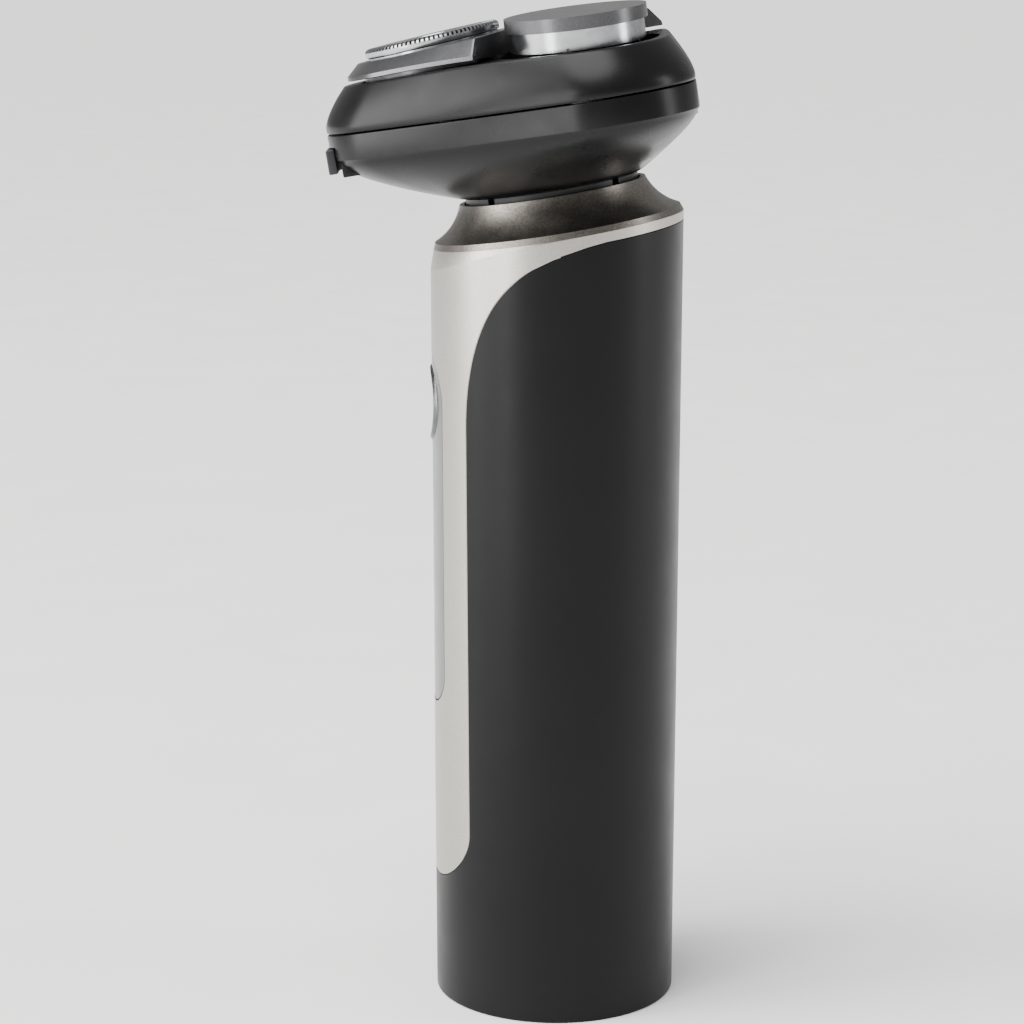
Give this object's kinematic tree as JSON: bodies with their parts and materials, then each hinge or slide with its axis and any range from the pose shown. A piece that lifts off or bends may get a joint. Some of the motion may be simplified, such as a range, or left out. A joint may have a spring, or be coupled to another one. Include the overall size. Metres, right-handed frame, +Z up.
{
  "type": "electric shaver",
  "caption": "Cordless rotary shaver: round handle with metal front panel, tilted neck and a rounded-triangular flip-open head with floating cutters.",
  "frame": {"origin": "centre of the handle's foot, on the plane it stands on", "axes": "+Z up along the handle, -Y towards the button side, +X to the right when facing the button"},
  "size_m": [0.061, 0.0575, 0.159],
  "materials": {
    "black_polymer": "satin soft-touch coating",
    "metal_panel": "satin, bead blasted",
    "grey_gloss": "polished",
    "gloss_black": "polished",
    "petal_metal": "satin metallic lacquer",
    "cutter_steel": "bright nickel-plated",
    "plain_steel": "bright",
    "natural_acetal": "moulded",
    "inner_plastic": "moulded",
    "board_green": "solder mask",
    "cell_sleeve": "shrink film",
    "seal_rubber": "moulded silicone"
  },
  "bodies": {
    "handle": {"body_sleeve": "black_polymer", "front_panel": "metal_panel", "display_strip": "grey_gloss", "base_cap": "black_polymer", "base_seal": "seal_rubber", "charge_inlet": "plain_steel", "charge_board": "board_green", "chassis": "inner_plastic", "battery": "cell_sleeve", "main_board": "board_green", "display_board": "board_green", "tact_switch": "inner_plastic", "motor": "plain_steel", "motor_magnets": "plain_steel", "motor_mount": "inner_plastic", "motor_screws": "plain_steel", "neck_collar": "metal_panel", "neck_screws": "plain_steel", "shaft_seal": "seal_rubber"},
    "power_button": {"power_button": "grey_gloss", "switch_plunger": "inner_plastic"},
    "drive": {"motor_shaft": "plain_steel", "rotor": "plain_steel", "drive_coupling": "natural_acetal"},
    "head_base": {"coupling_ring": "gloss_black", "hair_chamber": "gloss_black", "gear_cover": "inner_plastic", "planet_pins": "plain_steel", "hinge_pin": "plain_steel", "latch_spring": "plain_steel"},
    "sun_gear": {"sun_gear": "natural_acetal"},
    "release_latch": {"release_latch": "gloss_black"},
    "head_cover": {"head_cover": "gloss_black", "cutter_frame": "inner_plastic"},
    "planet_gear_front": {"planet_gear_front": "natural_acetal", "spindle_spring_front": "plain_steel"},
    "drive_pin_front": {"drive_pin_front": "natural_acetal"},
    "petal_front": {"petal_front": "petal_metal"},
    "guard_front": {"guard_front": "cutter_steel"},
    "cutter_front": {"cutter_front": "cutter_steel"},
    "planet_gear_right": {"planet_gear_right": "natural_acetal", "spindle_spring_right": "plain_steel"},
    "drive_pin_right": {"drive_pin_right": "natural_acetal"},
    "petal_right": {"petal_right": "petal_metal"},
    "guard_right": {"guard_right": "cutter_steel"},
    "cutter_right": {"cutter_right": "cutter_steel"},
    "planet_gear_left": {"planet_gear_left": "natural_acetal", "spindle_spring_left": "plain_steel"},
    "drive_pin_left": {"drive_pin_left": "natural_acetal"},
    "petal_left": {"petal_left": "petal_metal"},
    "guard_left": {"guard_left": "cutter_steel"},
    "cutter_left": {"cutter_left": "cutter_steel"}
  },
  "joints": [
    {"name": "power_button_press", "type": "slide", "parent": "handle", "child": "power_button", "axis": [0, 1, 0], "range_m": [0, 0.0006], "stiffness_N_per_m": 600},
    {"name": "motor_spin", "type": "hinge", "parent": "handle", "child": "drive", "pos_m": [0, 0.00024, 0.12444], "axis": [0, -0.1616, 0.9869], "continuous": true},
    {"name": "head_pull", "type": "slide", "parent": "handle", "child": "head_base", "axis": [0, -0.1616, 0.9869], "range_m": [0, 0.014]},
    {"name": "sun_gear_spin", "type": "hinge", "parent": "head_base", "child": "sun_gear", "pos_m": [0, -0.00186, 0.13727], "axis": [0, -0.1616, 0.9869], "continuous": true},
    {"name": "cover_hinge", "type": "hinge", "parent": "head_base", "child": "head_cover", "pos_m": [0, 0.02042, 0.14416], "axis": [-1, 0, 0], "range_deg": [0, 95]},
    {"name": "latch_press", "type": "slide", "parent": "head_base", "child": "release_latch", "axis": [0, 0.9869, 0.1616], "range_m": [0, 0.0006], "stiffness_N_per_m": 500},
    {"name": "planet_spin_front", "type": "hinge", "parent": "head_base", "child": "planet_gear_front", "pos_m": [0, -0.01589, 0.13497], "axis": [0, -0.1616, 0.9869], "continuous": true},
    {"name": "drive_pin_slide_front", "type": "slide", "parent": "planet_gear_front", "child": "drive_pin_front", "axis": [0, 0.1616, -0.9869], "range_m": [0, 0.0008], "deforming": ["spindle_spring_front"]},
    {"name": "petal_tilt_front", "type": "hinge", "parent": "head_cover", "child": "petal_front", "pos_m": [0, -0.01837, 0.14921], "axis": [1, 0, 0], "range_deg": [-2, 2], "stiffness_Nm_per_rad": 0.02},
    {"name": "guard_plunge_front", "type": "slide", "parent": "petal_front", "child": "guard_front", "axis": [0, 0.2284, -0.9736], "range_m": [0, 0.0008], "stiffness_N_per_m": 400},
    {"name": "cutter_spin_front", "type": "hinge", "parent": "guard_front", "child": "cutter_front", "pos_m": [0, -0.01917, 0.15262], "axis": [0, -0.2284, 0.9736], "continuous": true},
    {"name": "planet_spin_right", "type": "hinge", "parent": "head_base", "child": "planet_gear_right", "pos_m": [0.01231, 0.00515, 0.13842], "axis": [0, -0.1616, 0.9869], "continuous": true},
    {"name": "drive_pin_slide_right", "type": "slide", "parent": "planet_gear_right", "child": "drive_pin_right", "axis": [0, 0.1616, -0.9869], "range_m": [0, 0.0008], "deforming": ["spindle_spring_right"]},
    {"name": "petal_tilt_right", "type": "hinge", "parent": "head_cover", "child": "petal_right", "pos_m": [0.01244, 0.00289, 0.1527], "axis": [-0.5, 0.8546, 0.14], "range_deg": [-2, 2], "stiffness_Nm_per_rad": 0.02},
    {"name": "guard_plunge_right", "type": "slide", "parent": "petal_right", "child": "guard_right", "axis": [-0.0589, 0.1277, -0.9901], "range_m": [0, 0.0008], "stiffness_N_per_m": 400},
    {"name": "cutter_spin_right", "type": "hinge", "parent": "guard_right", "child": "cutter_right", "pos_m": [0.01264, 0.00244, 0.15616], "axis": [0.0589, -0.1277, 0.9901], "continuous": true},
    {"name": "planet_spin_left", "type": "hinge", "parent": "head_base", "child": "planet_gear_left", "pos_m": [-0.01231, 0.00515, 0.13842], "axis": [0, -0.1616, 0.9869], "continuous": true},
    {"name": "drive_pin_slide_left", "type": "slide", "parent": "planet_gear_left", "child": "drive_pin_left", "axis": [0, 0.1616, -0.9869], "range_m": [0, 0.0008], "deforming": ["spindle_spring_left"]},
    {"name": "petal_tilt_left", "type": "hinge", "parent": "head_cover", "child": "petal_left", "pos_m": [-0.01244, 0.00289, 0.1527], "axis": [-0.5, -0.8546, -0.14], "range_deg": [-2, 2], "stiffness_Nm_per_rad": 0.02},
    {"name": "guard_plunge_left", "type": "slide", "parent": "petal_left", "child": "guard_left", "axis": [0.0589, 0.1277, -0.9901], "range_m": [0, 0.0008], "stiffness_N_per_m": 400},
    {"name": "cutter_spin_left", "type": "hinge", "parent": "guard_left", "child": "cutter_left", "pos_m": [-0.01264, 0.00244, 0.15616], "axis": [-0.0589, -0.1277, 0.9901], "continuous": true}
  ],
  "couplings": [
    {"joint": "sun_gear_spin", "follows": "motor_spin", "ratio": 1},
    {"joint": "planet_spin_front", "follows": "motor_spin", "ratio": -0.6},
    {"joint": "drive_pin_slide_front", "follows": "guard_plunge_front", "ratio": 1},
    {"joint": "cutter_spin_front", "follows": "motor_spin", "ratio": -0.6},
    {"joint": "planet_spin_right", "follows": "motor_spin", "ratio": -0.6},
    {"joint": "drive_pin_slide_right", "follows": "guard_plunge_right", "ratio": 1},
    {"joint": "cutter_spin_right", "follows": "motor_spin", "ratio": -0.6},
    {"joint": "planet_spin_left", "follows": "motor_spin", "ratio": -0.6},
    {"joint": "drive_pin_slide_left", "follows": "guard_plunge_left", "ratio": 1},
    {"joint": "cutter_spin_left", "follows": "motor_spin", "ratio": -0.6}
  ]
}
